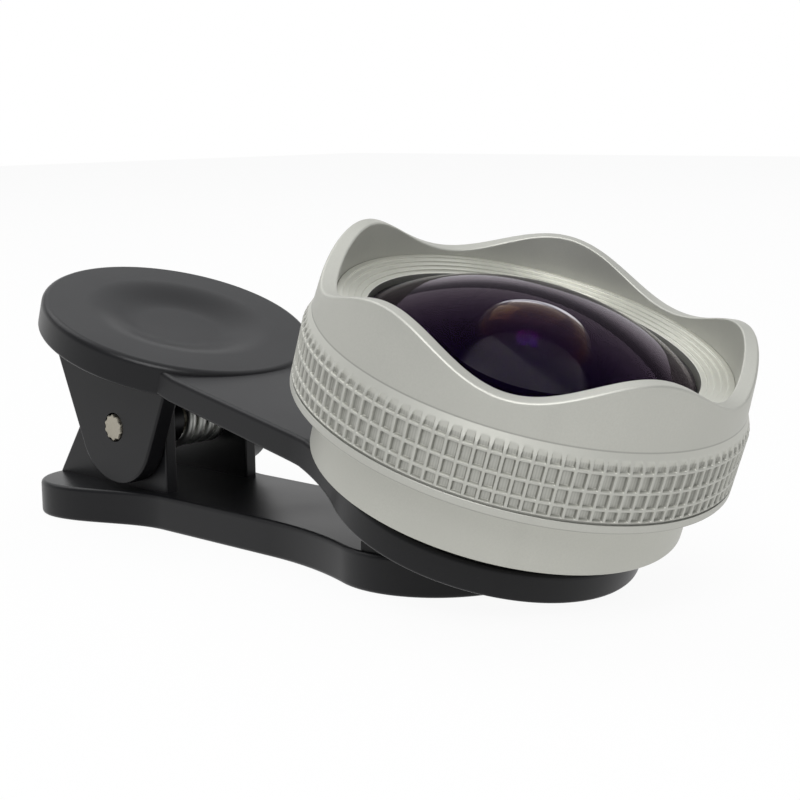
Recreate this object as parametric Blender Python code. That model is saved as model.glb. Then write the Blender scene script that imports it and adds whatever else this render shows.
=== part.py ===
"""A clip-on phone lens: a sprung two-arm clip, and a wide lens that screws onto a macro lens in its upper jaw."""

import math

import bmesh
import bpy

MM = 0.001

# Clearance between neighbouring pieces, and how far a cutter runs past what it cuts, mm
GAP = 0.3
OVERRUN = 1.0

# Lower arm, from the resting plane under the pivot, mm
PIVOT_HEIGHT = 12.88
PLATE_THICK = 4.52
PLATE_DECK = 1.7
PLATE_WALL = 1.6
PLATE_EDGE = 0.45
HEAD_X = 47.79
HEAD_R = 12.5
HEAD_FILLET = 45.0
WAIST_HALF = 9.13
FLARE_X = 7.5
TAIL_X = -16.8
TAIL_HALF = 14.13
TAIL_CORNER = 7.0
RIB_THICK = 1.2
RIB_PITCH = 13.0
SPINE_HALF = 1.0
CHEEK_INNER = 5.85
CHEEK_THICK = 1.83
CHEEK_R = 8.85
CHEEK_FRONT = 6.92
CHEEK_FOOT_X = -16.5
BOSS_R = 3.2
BOSS_LENGTH = 4.2

# Hinge pin and torsion spring, mm
PIN_R = 2.2
PIN_LOBE_COUNT = 10
PIN_LOBE_DEPTH = 0.22
PIN_LOBED_LENGTH = 1.6
PIN_INSET = 0.25
WIRE_R = 0.5
COIL_R = 3.35
COIL_TURN_COUNT = 3
LOWER_LEG_X = -11.0
UPPER_LEG_X = -8.0

# Upper arm, from the pivot along the lens jaw, mm and degrees
JAW_TILT = 18.9
RING_X = 53.94
RING_R = 18.08
RING_TOP = 15.77
RING_THICK = 3.46
ARM_HALF = 12.69
ARM_FILLET = 24.0
ARM_TOP = 12.58
SLOPE_FRONT_X = 35.67
SLOPE_REAR_X = 11.63
ARM_WALL = 1.8
ARM_EDGE = 0.4
DISC_X = -3.42
DISC_R = 18.04
DISC_TOP = 13.28
DISC_HEIGHT = 4.05
DISC_EDGE = 0.7
DISH_R = 12.4
DISH_DEPTH = 1.15
DISC_DECK = 1.35
EAR_THICK = 2.6
EAR_TOP_FRONT_X = 8.5
EAR_TOP_REAR_X = -17.5
EAR_ROUND_R = 7.5
EAR_HEEL_X = 3.4
EAR_HEEL_DROP = 5.1

# Jaw pads, mm
PAD_THICK = 0.9
PAD_INSET = 0.6
PAD_REAR_X = 47.0
RING_PAD_WIDTH = 4.2
RING_PAD_THICK = 0.8

# Glass of the wide lens, which everything round it is sized from, mm
FRONT_GLASS_R = 18.2
FRONT_GLASS_RISE = 5.49
FRONT_GLASS_EDGE = 1.8
FLANGE_WIDTH = 1.8
FLANGE_THICK = 2.5
BOWL_R = 7.6
BOWL_DEPTH = 6.6

# Widths outwards from the glass: stepped retainer, hood, chamfer, knurled lip, mm
RETAINER_CLEARANCE = 0.45
RETAINER_WIDTH = 3.19
RETAINER_HEIGHT = 2.27
RETAINER_DROP = 1.21
RETAINER_STEP_COUNT = 5
SEAL_THICK = 0.4
HOOD_WALL = 2.16
HOOD_LEAN = 0.55
CHAMFER_WIDTH = 0.7
LIP_WIDTH = 3.63
LIP_EDGE = 0.2
LIP_OVERLAP = 1.0

# Heights upwards from the lip: groove, rows of knurling, chamfer, petal hood, mm
LIP_BAND = 1.12
GROOVE_DEPTH = 0.2
GROOVE_WIDTH = 0.26
KNURL_MARGIN = 0.06
KNURL_COUNT = 108
KNURL_RIB_SHARE = 0.225
KNURL_DEPTH = 0.4
KNURL_SLOPE = 0.12
KNURL_ROW_HEIGHTS = (1.2, 1.61, 1.81)
KNURL_CREST = 0.255
BAR_WIDTH = 0.27
CHAMFER_HEIGHT = 1.73
HOOD_HEIGHT = 5.13
PETAL_COUNT = 5
PETAL_HEIGHT = 1.95
PETAL_TURN = -20.25

# Macro lens, heights along the lens axis from the barrel's lower face, mm
MACRO_HEIGHT = 6.94
MACRO_WALL = 1.87
MACRO_FLOOR = 2.4
NECK_R = 8.5
NECK_WALL = 1.3
NECK_LENGTH = 3.0
SHOULDER_WALL = 2.4
SHOULDER_HEIGHT = 1.92
MACRO_SEAT_WIDTH = 2.3
MACRO_SEAT_DROP = 0.9
MACRO_GLASS_EDGE = 1.0
MACRO_GLASS_BULGE = 1.5
MACRO_RETAINER_HEIGHT = 1.1
MACRO_RETAINER_WALL = 1.3

# Sleeve and lens cell behind the front glass, mm
SLEEVE_WALL = 1.8
SLEEVE_CLEARANCE = 0.6
WEB_THICK = 1.7
CELL_CLEARANCE = 1.5
CELL_WALL = 1.3
CELL_STEP = 1.9
CELL_LAND = 1.8
CELL_WEB_THICK = 1.2
SECOND_EDGE = 1.5
SECOND_DISH = 0.55
SPACER_HEIGHT = 1.8
CROWN_EDGE = 1.0
CROWN_BULGE = 0.9
FLINT_EDGE = 1.2
REAR_RETAINER_WALL = 2.0
REAR_RETAINER_HEIGHT = 0.9

# Facets round a full turn
BARREL_SIDE_COUNT = 54
ROUND_SIDE_COUNT = 36
INNER_SIDE_COUNT = 24
BORE_SIDE_COUNT = 20
WIRE_SIDE_COUNT = 6
COIL_STEP_COUNT = 18

# Clip sizes that follow from those above
RING_LOW = RING_TOP - RING_THICK
DISC_LOW = DISC_TOP - DISC_HEIGHT
DECK_LOW = DISC_TOP - DISH_DEPTH - DISC_DECK
CHEEK_OUTER = CHEEK_INNER + CHEEK_THICK
EAR_INNER = CHEEK_OUTER + GAP
EAR_OUTER = EAR_INNER + EAR_THICK
PIN_HOLE_R = PIN_R + GAP
MOUNT_HOLE_R = NECK_R + GAP

# Radii from the glass out to the lip, and from the lip in to the lens cell
FLANGE_R = FRONT_GLASS_R + FLANGE_WIDTH
RETAINER_INNER_R = FRONT_GLASS_R + RETAINER_CLEARANCE
RETAINER_R = RETAINER_INNER_R + RETAINER_WIDTH
HOOD_INNER_R = RETAINER_R + GAP
HOOD_BASE_R = HOOD_INNER_R + HOOD_WALL
LIP_R = HOOD_BASE_R + CHAMFER_WIDTH
MACRO_R = LIP_R - LIP_WIDTH
MACRO_BORE_R = MACRO_R - MACRO_WALL
SLEEVE_R = MACRO_BORE_R - GAP
SLEEVE_INNER_R = SLEEVE_R - SLEEVE_WALL
CELL_R = SLEEVE_INNER_R - CELL_CLEARANCE
CELL_BORE_R = CELL_R - CELL_WALL
CROWN_R = CELL_BORE_R - CELL_STEP - GAP
CELL_WEB_R = CROWN_R - CELL_LAND
NECK_BORE_R = NECK_R - NECK_WALL
MACRO_GLASS_R = NECK_BORE_R + MACRO_SEAT_WIDTH

# Heights of the barrel, then of the stack of optics inside it
RECESS_Z = MACRO_HEIGHT + LIP_OVERLAP
GROOVE_Z = MACRO_HEIGHT + LIP_BAND
KNURL_Z = GROOVE_Z + GROOVE_WIDTH / 2 + KNURL_MARGIN
CREST_Z = KNURL_Z + sum(KNURL_ROW_HEIGHTS) + len(KNURL_ROW_HEIGHTS) * BAR_WIDTH
CHAMFER_Z = CREST_Z + KNURL_CREST
HOOD_BASE_Z = CHAMFER_Z + CHAMFER_HEIGHT
RIM_Z = HOOD_BASE_Z + HOOD_HEIGHT
MACRO_GLASS_Z = GAP - MACRO_SEAT_DROP
MACRO_GLASS_TOP = MACRO_GLASS_Z + MACRO_GLASS_EDGE
SLEEVE_Z = MACRO_FLOOR + SLEEVE_CLEARANCE
FLINT_Z = SLEEVE_Z + REAR_RETAINER_HEIGHT + GAP
CROWN_Z = FLINT_Z + FLINT_EDGE + GAP
CELL_WEB_Z = CROWN_Z + CROWN_EDGE + GAP
SECOND_Z = CELL_WEB_Z + CELL_WEB_THICK + GAP
SPACER_Z = SECOND_Z + SECOND_EDGE + GAP
LEDGE_Z = SPACER_Z + SPACER_HEIGHT
FLANGE_Z = LEDGE_Z + GAP
FLANGE_TOP = FLANGE_Z + FLANGE_THICK
SEAL_Z = FLANGE_TOP + GAP
RETAINER_Z = SEAL_Z + SEAL_THICK + GAP


def polar(radius, degrees):
    """A point on a circle about the origin."""
    turn = math.radians(degrees)
    return radius * math.cos(turn), radius * math.sin(turn)


def material(name, colour, roughness, metallic=0.0):
    """A plain surface in the photograph's colour."""
    made = bpy.data.materials.new(name)
    made.use_nodes = True
    shader = made.node_tree.nodes["Principled BSDF"]
    shader.inputs["Base Color"].default_value = (*colour, 1.0)
    shader.inputs["Roughness"].default_value = roughness
    shader.inputs["Metallic"].default_value = metallic
    made.diffuse_color = (*colour, 1.0)
    return made


def piece(name, mesh, surface=None, parent=None):
    """Turn a bmesh in millimetres into a named object in metres."""
    bmesh.ops.recalc_face_normals(mesh, faces=mesh.faces)
    bmesh.ops.scale(mesh, vec=(MM, MM, MM), verts=mesh.verts)
    data = bpy.data.meshes.new(name)
    mesh.to_mesh(data)
    mesh.free()
    made = bpy.data.objects.new(name, data)
    bpy.context.scene.collection.objects.link(made)
    made.parent = parent
    if surface:
        data.materials.append(surface)
        data.shade_smooth()
        data.set_sharp_from_angle(angle=math.radians(28))
    return made


def combine(target, tool, operation):
    """Apply one exact boolean to the target and remove the tool."""
    modifier = target.modifiers.new(operation.lower(), "BOOLEAN")
    modifier.operation = operation
    modifier.solver = "EXACT"
    modifier.object = tool
    bpy.context.view_layer.update()
    depsgraph = bpy.context.evaluated_depsgraph_get()
    result = bpy.data.meshes.new_from_object(target.evaluated_get(depsgraph))
    target.modifiers.clear()
    target.data = result
    result.shade_smooth()
    result.set_sharp_from_angle(angle=math.radians(28))
    bpy.data.objects.remove(tool)


def ring_of(mesh, radius, height, count):
    """One ring of vertices, or a single vertex on the axis."""
    if radius == 0:
        return [mesh.verts.new((0.0, 0.0, height))]
    return [mesh.verts.new((*polar(radius, 360 * i / count), height)) for i in range(count)]


def band(mesh, first, second):
    """Faces between two rings, whose counts are equal or one a multiple of the other."""
    if len(first) > len(second):
        first, second = second, first
    if len(first) == 1:
        for i in range(len(second)):
            mesh.faces.new((first[0], second[i - 1], second[i]))
        return
    share = len(second) // len(first)
    for i in range(len(first)):
        after = (i + 1) % len(first)
        arc = [second[(i * share + k) % len(second)] for k in range(share + 1)]
        mesh.faces.new([first[after], first[i]] + arc)


def lathe(name, profile, sides, surface=None, parent=None):
    """Turn a closed outline of (radius, height) points about the Z axis."""
    mesh = bmesh.new()
    rings = [ring_of(mesh, radius, height, sides) for radius, height in profile]
    for i in range(len(rings)):
        if len(rings[i - 1]) > 1 or len(rings[i]) > 1:
            band(mesh, rings[i - 1], rings[i])
    return piece(name, mesh, surface, parent)


def arc_profile(edge_r, edge_z, rise, steps):
    """Points from a lens's edge to its axis on a sphere that rises by the given height."""
    curve = (edge_r * edge_r + rise * rise) / (2 * abs(rise))
    centre = edge_z + rise - math.copysign(curve, rise)
    widest = math.asin(min(1.0, edge_r / curve))
    if abs(rise) > curve:
        widest = math.pi - widest
    points = []
    for i in range(1, steps):
        turn = widest * (1 - i / steps)
        points.append((curve * math.sin(turn), centre + math.copysign(curve, rise) * math.cos(turn)))
    points.append((0, edge_z + rise))
    return points


def slab(name, half, low, high, edge=0.0, surface=None, parent=None):
    """A flat body, alike on both sides of the XZ plane, between two heights that follow x."""
    count = len(half)
    loop = list(half) + [(x, -y) for x, y in reversed(half) if y > 0]
    mirrored = {}
    following = count
    for i in reversed(range(count)):
        mirrored[i] = following if half[i][1] > 0 else i
        following += 1 if half[i][1] > 0 else 0
    inner = inset(loop, edge)
    mesh = bmesh.new()
    bottom = [mesh.verts.new((x, y, low(x))) for x, y in loop]
    layers = [bottom, [mesh.verts.new((x, y, high(x) - edge)) for x, y in loop]]
    if edge:
        layers.append([mesh.verts.new((x, y, high(x))) for x, y in inner])
    for lower, upper in zip(layers, layers[1:]):
        for i in range(len(loop)):
            mesh.faces.new((lower[i - 1], lower[i], upper[i], upper[i - 1]))
    for cap in (layers[0], layers[-1]):
        for i in range(count - 1):
            corners = (cap[i], cap[i + 1], cap[mirrored[i + 1]], cap[mirrored[i]])
            mesh.faces.new(list(dict.fromkeys(corners)))
    return piece(name, mesh, surface, parent)


def inset(loop, distance):
    """The closed outline moved inwards by the same distance everywhere."""
    moved = []
    for i in range(len(loop)):
        before, here, after = loop[i - 1], loop[i], loop[(i + 1) % len(loop)]
        normals = []
        for start, end in ((before, here), (here, after)):
            length = math.dist(start, end)
            normals.append(((start[1] - end[1]) / length, (end[0] - start[0]) / length))
        sum_x = normals[0][0] + normals[1][0]
        sum_y = normals[0][1] + normals[1][1]
        share = 2 * distance / (sum_x * sum_x + sum_y * sum_y)
        moved.append((here[0] + sum_x * share, here[1] + sum_y * share))
    return moved


def plate_side(name, outline, near, far, surface=None, parent=None):
    """An upright plate: an outline of (x, z) points between two widths."""
    mesh = bmesh.new()
    first = [mesh.verts.new((x, near, z)) for x, z in outline]
    second = [mesh.verts.new((x, far, z)) for x, z in outline]
    for i in range(len(outline)):
        mesh.faces.new((first[i - 1], first[i], second[i], second[i - 1]))
    mesh.faces.new(first)
    mesh.faces.new(second)
    return piece(name, mesh, surface, parent)


def cross_cylinder(name, radius, near, far, height, sides, parent=None):
    """A round bar along Y."""
    outline = []
    for i in range(sides):
        x, z = polar(radius, 360 * (i + 0.5) / sides)
        outline.append((x, height + z))
    return plate_side(name, outline, near, far, parent=parent)


def box(name, low, high):
    """A plain block between two corners."""
    half = ((high[0], high[1]), (low[0], high[1]))
    return slab(name, half, lambda x: low[2], lambda x: high[2])


def empty(name, location, tilt=0.0, parent=None):
    """An axis that pieces are placed on and turn about."""
    made = bpy.data.objects.new(name, None)
    made.location = [value * MM for value in location]
    made.rotation_euler = (0.0, math.radians(tilt), 0.0)
    made.parent = parent
    bpy.context.scene.collection.objects.link(made)
    return made


def neck_stations(centre_x, radius, half, fillet, steps):
    """Where a round head runs into a straight arm through a hollow fillet, as (x, y) points."""
    lift = math.asin((half + fillet) / (radius + fillet))
    fillet_x = centre_x - (radius + fillet) * math.cos(lift)
    points = []
    for i in range(steps + 1):
        turn = lift + (math.pi / 2 - lift) * i / steps
        points.append((fillet_x + fillet * math.cos(turn), half + fillet - fillet * math.sin(turn)))
    return points


def lower_outline(inside):
    """Half of the lower arm's plan, moved inwards, from its tip to its rear edge."""
    radius = HEAD_R - inside
    half = WAIST_HALF - inside
    neck = neck_stations(HEAD_X, radius, half, HEAD_FILLET + inside, 5)
    first = math.degrees(math.atan2(neck[0][1], neck[0][0] - HEAD_X))
    points = []
    for i in range(9):
        x, y = polar(radius, first * i / 9)
        points.append((HEAD_X + x, y))
    points += neck
    corner_x = TAIL_X + TAIL_CORNER
    for i in range(9):
        share = i / 8
        swell = 0.5 - 0.5 * math.cos(math.pi * share)
        x = FLARE_X + (corner_x - FLARE_X) * share
        points.append((x, half + (TAIL_HALF - WAIST_HALF) * swell))
    for i in range(1, 6):
        x, y = polar(TAIL_CORNER - inside, 90 + 18 * i)
        points.append((corner_x + x, TAIL_HALF - TAIL_CORNER + y))
    return points


def cheek_outline():
    """The upright cheek that carries the pin: straight front, round top, sloping back."""
    top = math.sqrt(CHEEK_R * CHEEK_R - CHEEK_FRONT * CHEEK_FRONT)
    start = math.degrees(math.atan2(top, CHEEK_FRONT))
    foot = math.hypot(CHEEK_FOOT_X, PLATE_THICK - PIVOT_HEIGHT)
    toward_foot = math.degrees(math.atan2(PLATE_THICK - PIVOT_HEIGHT, CHEEK_FOOT_X))
    finish = toward_foot + 360 - math.degrees(math.acos(CHEEK_R / foot))
    sunk = PLATE_THICK - PLATE_DECK / 2
    points = [(CHEEK_FRONT, sunk)]
    for i in range(11):
        x, z = polar(CHEEK_R, start + (finish - start) * i / 10)
        points.append((x, PIVOT_HEIGHT + z))
    points.append((CHEEK_FOOT_X, PLATE_THICK))
    points.append((CHEEK_FOOT_X, sunk))
    return points


def make_lower_arm(surface):
    """One moulding: plate with a skirt and ribs below, two cheeks and the spring boss above."""
    arm = slab("lower_arm", lower_outline(0.0), lambda x: 0.0, lambda x: PLATE_THICK, PLATE_EDGE, surface)
    hollow = PLATE_THICK - PLATE_DECK
    inside = lower_outline(PLATE_WALL)
    combine(arm, slab("hollow", inside, lambda x: -OVERRUN, lambda x: hollow), "DIFFERENCE")
    for i in range(5):
        x = PAD_REAR_X - RIB_PITCH * i
        span = WAIST_HALF - PLATE_WALL / 2
        rib = box("rib", (x - RIB_THICK, -span, GAP), (x, span, hollow + PLATE_DECK / 3))
        combine(arm, rib, "UNION")
    ends = (TAIL_X + PLATE_WALL / 2, HEAD_X + HEAD_R - PLATE_WALL / 2)
    spine = box("spine", (ends[0], -SPINE_HALF, 0.0), (ends[1], SPINE_HALF, hollow + PLATE_DECK / 2))
    combine(arm, spine, "UNION")
    for side in (-1, 1):
        cheek = plate_side("cheek", cheek_outline(), side * CHEEK_INNER, side * CHEEK_OUTER)
        combine(arm, cheek, "UNION")
    near = -CHEEK_INNER - CHEEK_THICK / 2
    boss = cross_cylinder("boss", BOSS_R, near, BOSS_LENGTH - CHEEK_INNER, PIVOT_HEIGHT, BORE_SIDE_COUNT)
    combine(arm, boss, "UNION")
    reach = CHEEK_OUTER + OVERRUN
    bore = cross_cylinder("bore", PIN_HOLE_R, -reach, reach, PIVOT_HEIGHT, BORE_SIDE_COUNT)
    combine(arm, bore, "DIFFERENCE")
    return arm


def arm_top(x):
    """Height of the upper arm's top face: level ring, slope, level rear."""
    share = (x - SLOPE_REAR_X) / (SLOPE_FRONT_X - SLOPE_REAR_X)
    return ARM_TOP + (RING_TOP - ARM_TOP) * min(1.0, max(0.0, share))


def arm_low(x):
    """Height of the upper arm's lower rim."""
    share = (x - SLOPE_REAR_X) / (SLOPE_FRONT_X - SLOPE_REAR_X)
    rear = DISC_LOW + ARM_EDGE / 2
    return rear + (RING_LOW - rear) * min(1.0, max(0.0, share))


def upper_outline():
    """Half of the upper arm's plan from the ring's tip to the middle of the thumb disc."""
    neck = neck_stations(RING_X, RING_R, ARM_HALF, ARM_FILLET, 6)
    first = math.degrees(math.atan2(neck[0][1], neck[0][0] - RING_X))
    points = []
    for i in range(14):
        x, y = polar(RING_R, first * i / 14)
        points.append((RING_X + x, y))
    points += neck
    split = []
    for before, after in zip(points, points[1:]):
        split.append(before)
        if before[0] > SLOPE_FRONT_X > after[0]:
            share = (before[0] - SLOPE_FRONT_X) / (before[0] - after[0])
            split.append((SLOPE_FRONT_X, before[1] + (after[1] - before[1]) * share))
    split.append(points[-1])
    if points[-1][0] > SLOPE_FRONT_X:
        split.append((SLOPE_FRONT_X, ARM_HALF))
    split.append((SLOPE_REAR_X, ARM_HALF))
    split.append((DISC_X, ARM_HALF))
    return split


def make_disc(parent):
    """The thumb disc with its soft dish."""
    profile = [(0, DISC_TOP - DISH_DEPTH)]
    for i in range(1, 7):
        share = i / 6
        lift = 0.5 - 0.5 * math.cos(math.pi * share)
        profile.append((DISH_R * share, DISC_TOP - DISH_DEPTH * (1 - lift)))
    profile.append((DISC_R - DISC_EDGE, DISC_TOP))
    profile.append((DISC_R - DISC_EDGE * 0.3, DISC_TOP - DISC_EDGE * 0.3))
    profile.append((DISC_R, DISC_TOP - DISC_EDGE))
    profile.append((DISC_R, DISC_LOW))
    profile.append((0, DISC_LOW))
    disc = lathe("disc", profile, BARREL_SIDE_COUNT, parent=parent)
    disc.location = (DISC_X * MM, 0.0, 0.0)
    return disc


def arm_hollow(parent):
    """The room under the arm, up to the deck, as a cutter."""
    radius = DISC_R - ARM_WALL
    half = ARM_HALF - ARM_WALL
    front = SLOPE_FRONT_X - ARM_WALL
    ceiling = RING_TOP - ARM_WALL
    meets = math.degrees(math.asin(half / radius))
    points = [(front, half), (SLOPE_REAR_X, half)]
    for i in range(15):
        x, y = polar(radius, meets + (180 - meets) * i / 14)
        points.append((DISC_X + x, y if i < 14 else 0.0))

    def roof(x):
        share = (x - SLOPE_REAR_X) / (SLOPE_FRONT_X - SLOPE_REAR_X)
        return DECK_LOW + (ceiling - DECK_LOW) * max(0.0, share)

    return slab("hollow", points, lambda x: DISC_LOW - OVERRUN, roof, parent=parent)


def ear_outline():
    """The ear that hangs from the arm beside the cheek and holds the pin's end."""
    rim = arm_low(0.0)
    front_round = -75
    points = [(EAR_TOP_FRONT_X, DECK_LOW + DISC_DECK / 2), (EAR_TOP_FRONT_X, rim)]
    for i in range(8):
        points.append(polar(EAR_ROUND_R, -4 + (front_round - 56) * i / 7))
    points.append((EAR_TOP_REAR_X + EAR_HEEL_X, rim - EAR_HEEL_DROP))
    points.append((EAR_TOP_REAR_X, rim - GAP))
    points.append((EAR_TOP_REAR_X, rim + GAP))
    points.append((EAR_TOP_REAR_X + ARM_WALL, DECK_LOW + DISC_DECK / 2))
    return points


def make_upper_arm(surface, pivot):
    """One moulding: lens ring, hollow arm, thumb disc and the two ears."""
    arm = slab("upper_arm", upper_outline(), arm_low, arm_top, ARM_EDGE, surface, pivot)
    combine(arm, make_disc(pivot), "UNION")
    combine(arm, arm_hollow(pivot), "DIFFERENCE")
    for side in (-1, 1):
        ear = plate_side("ear", ear_outline(), side * EAR_INNER, side * EAR_OUTER, parent=pivot)
        combine(arm, ear, "UNION")
    reach = EAR_OUTER + OVERRUN
    bore = cross_cylinder("bore", PIN_HOLE_R, -reach, reach, 0.0, BORE_SIDE_COUNT, pivot)
    combine(arm, bore, "DIFFERENCE")
    low = RING_LOW - OVERRUN
    high = RING_TOP + OVERRUN
    hole = lathe("hole", [(0, low), (MOUNT_HOLE_R, low), (MOUNT_HOLE_R, high), (0, high)], ROUND_SIDE_COUNT, parent=pivot)
    hole.location = (RING_X * MM, 0.0, 0.0)
    combine(arm, hole, "DIFFERENCE")
    return arm


def make_pin(surface, pivot):
    """The steel pin: smooth between the ears, fluted where it is pressed into them."""
    mesh = bmesh.new()
    end = EAR_OUTER - PIN_INSET
    smooth = end - PIN_LOBED_LENGTH
    core = PIN_R - PIN_LOBE_DEPTH
    stations = ((-end, True), (-smooth, True), (-smooth + GAP, False), (smooth - GAP, False), (smooth, True), (end, True))
    rings = []
    for y, fluted in stations:
        ring = []
        for i in range(2 * PIN_LOBE_COUNT):
            radius = PIN_R if fluted and i % 2 == 0 else core
            x, z = polar(radius, 180 * i / PIN_LOBE_COUNT)
            ring.append(mesh.verts.new((x, y, z)))
        rings.append(ring)
    for before, after in zip(rings, rings[1:]):
        band(mesh, before, after)
    mesh.faces.new(rings[0])
    mesh.faces.new(rings[-1])
    return piece("pivot_pin", mesh, surface, pivot)


def tangent_turn(x, z, upper):
    """Where a straight leg to a point leaves the coil, in radians about the pin."""
    away = math.acos(COIL_R / math.hypot(x, z))
    return math.atan2(z, x) + (-away if upper else away)


def make_spring(surface):
    """The torsion spring: a close coil with a leg on each arm."""
    lower_z = PLATE_THICK - PIVOT_HEIGHT + GAP + WIRE_R
    lower_end = (LOWER_LEG_X, lower_z)
    tilt = math.radians(JAW_TILT)
    beneath = DECK_LOW - GAP - WIRE_R
    upper_x = UPPER_LEG_X * math.cos(tilt) + beneath * math.sin(tilt)
    upper_z = beneath * math.cos(tilt) - UPPER_LEG_X * math.sin(tilt)
    start = tangent_turn(*lower_end, upper=False) % (2 * math.pi)
    finish = tangent_turn(upper_x, upper_z, upper=True) % (2 * math.pi)
    sweep = 2 * math.pi * COIL_TURN_COUNT + (finish - start) % (2 * math.pi)
    first_y = BOSS_LENGTH - CHEEK_INNER + GAP + WIRE_R
    last_y = CHEEK_INNER - GAP - WIRE_R
    steps = COIL_STEP_COUNT * COIL_TURN_COUNT
    path = []
    for i in range(steps + 1):
        turn = start + sweep * i / steps
        y = first_y + (last_y - first_y) * i / steps
        path.append((COIL_R * math.cos(turn), y, COIL_R * math.sin(turn)))
    path.insert(0, (lower_end[0], first_y, lower_end[1]))
    path.append((upper_x, path[-1][1], upper_z))
    made = tube("torsion_spring", path, WIRE_R, WIRE_SIDE_COUNT, surface)
    made.location = (0.0, 0.0, PIVOT_HEIGHT * MM)
    return made


def tube(name, path, radius, sides, surface):
    """A round wire along a path that winds about the Y axis."""
    mesh = bmesh.new()
    rings = []
    for i in range(len(path)):
        before = path[max(0, i - 1)]
        after = path[min(len(path) - 1, i + 1)]
        along = [after[k] - before[k] for k in range(3)]
        length = math.hypot(along[0], along[2])
        out = (along[2] / length, 0.0, -along[0] / length)
        ring = []
        for k in range(sides):
            across, beside = polar(radius, 360 * k / sides)
            x = path[i][0] + out[0] * across
            z = path[i][2] + out[2] * across
            ring.append(mesh.verts.new((x, path[i][1] + beside, z)))
        rings.append(ring)
    for before, after in zip(rings, rings[1:]):
        band(mesh, before, after)
    mesh.faces.new(rings[0])
    mesh.faces.new(rings[-1])
    return piece(name, mesh, surface)


def make_pads(surface, pivot):
    """Soft pads: a washer under the lens ring and a D on the lower arm's head."""
    top = RING_LOW - GAP
    low = top - RING_PAD_THICK
    inner = MOUNT_HOLE_R + PAD_INSET
    outer = inner + RING_PAD_WIDTH
    washer = lathe("ring_pad", square_ring(inner, outer, low, top), ROUND_SIDE_COUNT, surface, pivot)
    washer.location = (RING_X * MM, 0.0, 0.0)
    radius = HEAD_R - PAD_INSET
    widest = math.degrees(math.acos((PAD_REAR_X - HEAD_X) / radius))
    half = []
    for i in range(13):
        x, y = polar(radius, widest * i / 12)
        half.append((HEAD_X + x, y))
    base = PLATE_THICK + GAP
    slab("lower_pad", half, lambda x: base, lambda x: base + PAD_THICK, PAD_THICK / 4, surface)


def square_ring(inner, outer, low, high):
    """The outline of a plain ring with a square section."""
    return [(inner, low), (outer, low), (outer, high), (inner, high)]


def make_macro_unit(silver, black, glass, axis):
    """The smooth barrel that screws into the clip, with its one lens and retaining ring."""
    shoulder = GAP - SHOULDER_HEIGHT
    tip = -SHOULDER_HEIGHT - NECK_LENGTH
    pocket = MACRO_GLASS_R + GAP
    top = RECESS_Z - GAP
    profile = [
        (NECK_BORE_R, tip),
        (NECK_R, tip),
        (NECK_R, shoulder),
        (pocket + SHOULDER_WALL, shoulder),
        (pocket + SHOULDER_WALL, 0),
        (MACRO_R - LIP_EDGE, 0),
        (MACRO_R, LIP_EDGE),
        (MACRO_R, top),
        (MACRO_BORE_R, top),
        (MACRO_BORE_R, MACRO_FLOOR),
        (pocket, MACRO_FLOOR),
        (pocket, -MACRO_SEAT_DROP),
        (NECK_BORE_R, -MACRO_SEAT_DROP),
    ]
    lathe("macro_barrel", profile, ROUND_SIDE_COUNT, silver, axis)
    profile = [(0, MACRO_GLASS_Z), (MACRO_GLASS_R, MACRO_GLASS_Z), (MACRO_GLASS_R, MACRO_GLASS_TOP)]
    profile += arc_profile(MACRO_GLASS_R, MACRO_GLASS_TOP, MACRO_GLASS_BULGE, 3)
    lathe("macro_glass", profile, INNER_SIDE_COUNT, glass, axis)
    inner = MACRO_GLASS_R - MACRO_RETAINER_WALL
    bulge = MACRO_GLASS_BULGE * (1 - (inner / MACRO_GLASS_R) ** 2)
    low = MACRO_GLASS_TOP + bulge + GAP
    profile = square_ring(inner, MACRO_GLASS_R, low, low + MACRO_RETAINER_HEIGHT)
    lathe("macro_retainer", profile, INNER_SIDE_COUNT, black, axis)


def petal_height(degrees):
    """Height of the hood's wavy rim at an angle about the lens axis."""
    return RIM_Z + PETAL_HEIGHT * math.cos(math.radians(PETAL_COUNT * (degrees - PETAL_TURN)))


def hood_radius(height):
    """Outer radius of the hood, which leans in a little towards its rim."""
    share = (height - HOOD_BASE_Z) / (RIM_Z + PETAL_HEIGHT - HOOD_BASE_Z)
    return HOOD_BASE_R - HOOD_LEAN * share


def knurl_ring(mesh, radius, height, inward=0.0):
    """The corners of every pocket at one height: its start and its end round the barrel."""
    step = 360 / KNURL_COUNT
    rib = step * KNURL_RIB_SHARE
    ring = []
    for i in range(KNURL_COUNT):
        ring.append(mesh.verts.new((*polar(radius, step * i + rib + inward), height)))
        ring.append(mesh.verts.new((*polar(radius, step * (i + 1) - inward), height)))
    return ring


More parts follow.
